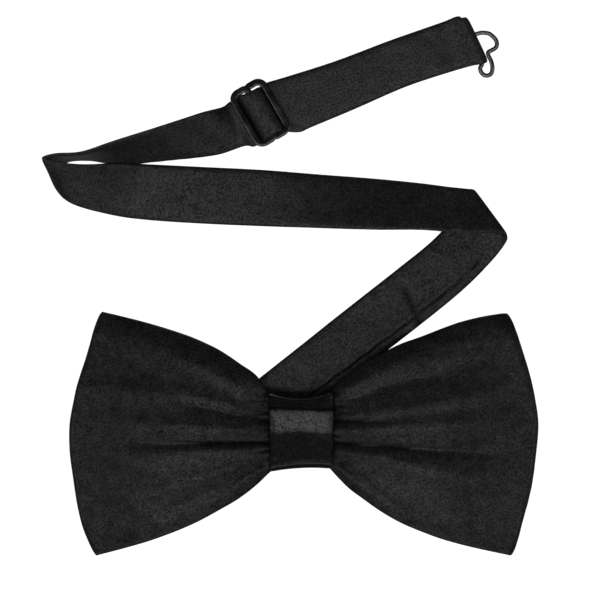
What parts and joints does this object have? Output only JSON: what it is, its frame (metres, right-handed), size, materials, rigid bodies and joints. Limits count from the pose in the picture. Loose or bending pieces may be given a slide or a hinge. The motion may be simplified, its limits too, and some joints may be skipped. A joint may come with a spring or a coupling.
{
  "type": "bow tie",
  "caption": "Pre-tied satin bow with a wrapped knot on a folded adjustable neck strap with a three-bar slider, a wire hook and a wire eye.",
  "frame": {"origin": "on the back of the neck strap, at the middle of its width, where it is tacked to the knot", "axes": "+Z out of the bow's front, +X along the bow's width, to the right as seen from the front, +Y up the bow"},
  "size_m": [0.1256, 0.1377, 0.0142],
  "materials": {
    "bow_satin": "black satin weave",
    "knot_satin": "black satin weave",
    "strap_satin": "black satin weave",
    "interlining": "non-woven lining",
    "thread": "polyester thread",
    "slider_metal": "black nickel plate",
    "hook_wire": "black nickel plate"
  },
  "bodies": {
    "bow": {"bow_satin": "bow_satin", "bow_interlining": "interlining", "waist_thread": "thread", "knot_wrap": "knot_satin", "knot_interlining": "interlining", "knot_tack": "thread", "strap_anchor": "strap_satin", "strap_tack": "thread"},
    "short_end": {"strap_short_end": "strap_satin", "eye_stitches": "thread"},
    "eye": {"eye": "hook_wire"},
    "strap_lower": {"strap_diagonal": "strap_satin", "interlining_diagonal": "interlining"},
    "strap_middle": {"strap_right_fold": "strap_satin", "strap_middle": "strap_satin", "interlining_middle": "interlining"},
    "strap_upper": {"strap_left_curl": "strap_satin", "strap_single": "strap_satin", "interlining_single": "interlining"},
    "slider": {"slider_frame": "slider_metal", "slider_tack": "thread", "strap_through_slider": "strap_satin"},
    "hook_end": {"strap_doubled_top": "strap_satin", "strap_end_fold": "strap_satin", "strap_doubled_bottom": "strap_satin", "interlining_doubled_top": "interlining", "interlining_doubled_bottom": "interlining", "hook_stitches": "thread"},
    "hook": {"hook": "hook_wire"}
  },
  "joints": [
    {"name": "short_end_bend", "type": "hinge", "parent": "bow", "child": "short_end", "pos_m": [-0.00745, -0.00589, 0], "axis": [0.6205, -0.7842, 0], "range_deg": [0, 60]},
    {"name": "eye_swing", "type": "hinge", "parent": "short_end", "child": "eye", "pos_m": [-0.02196, -0.01737, 0.00184], "axis": [-0.6205, 0.7842, 0], "range_deg": [-60, 10]},
    {"name": "strap_bend", "type": "hinge", "parent": "bow", "child": "strap_lower", "pos_m": [0.0098, 0.00776, 0], "axis": [-0.6205, 0.7842, 0], "range_deg": [0, 75]},
    {"name": "right_fold_open", "type": "hinge", "parent": "strap_lower", "child": "strap_middle", "pos_m": [0.05466, 0.04803, 0.0014], "axis": [-0.5654, 0.8248, 0], "range_deg": [0, 165], "deforming": ["strap_right_fold"]},
    {"name": "left_curl_open", "type": "hinge", "parent": "strap_middle", "child": "strap_upper", "pos_m": [-0.05534, 0.05973, 0.0066], "axis": [-0.2808, 0.4177, 0.8641], "range_deg": [0, 140], "deforming": ["strap_left_curl"]},
    {"name": "slider_slide", "type": "slide", "parent": "strap_upper", "child": "slider", "axis": [0.866, 0.5, 0], "range_m": [-0.01, 0.025], "deforming": ["strap_single", "interlining_single", "strap_through_slider"]},
    {"name": "hook_end_slide", "type": "slide", "parent": "slider", "child": "hook_end", "axis": [0.9336, 0.3584, 0], "range_m": [-0.0125, 0.005], "deforming": ["strap_doubled_top", "strap_doubled_bottom", "interlining_doubled_top", "interlining_doubled_bottom"]},
    {"name": "hook_swing", "type": "hinge", "parent": "hook_end", "child": "hook", "pos_m": [0.05021, 0.09192, 0.00184], "axis": [-0.4384, 0.8988, 0], "range_deg": [-60, 60]}
  ],
  "couplings": [
    {"joint": "hook_end_slide", "follows": "slider_slide", "ratio": -0.5}
  ]
}
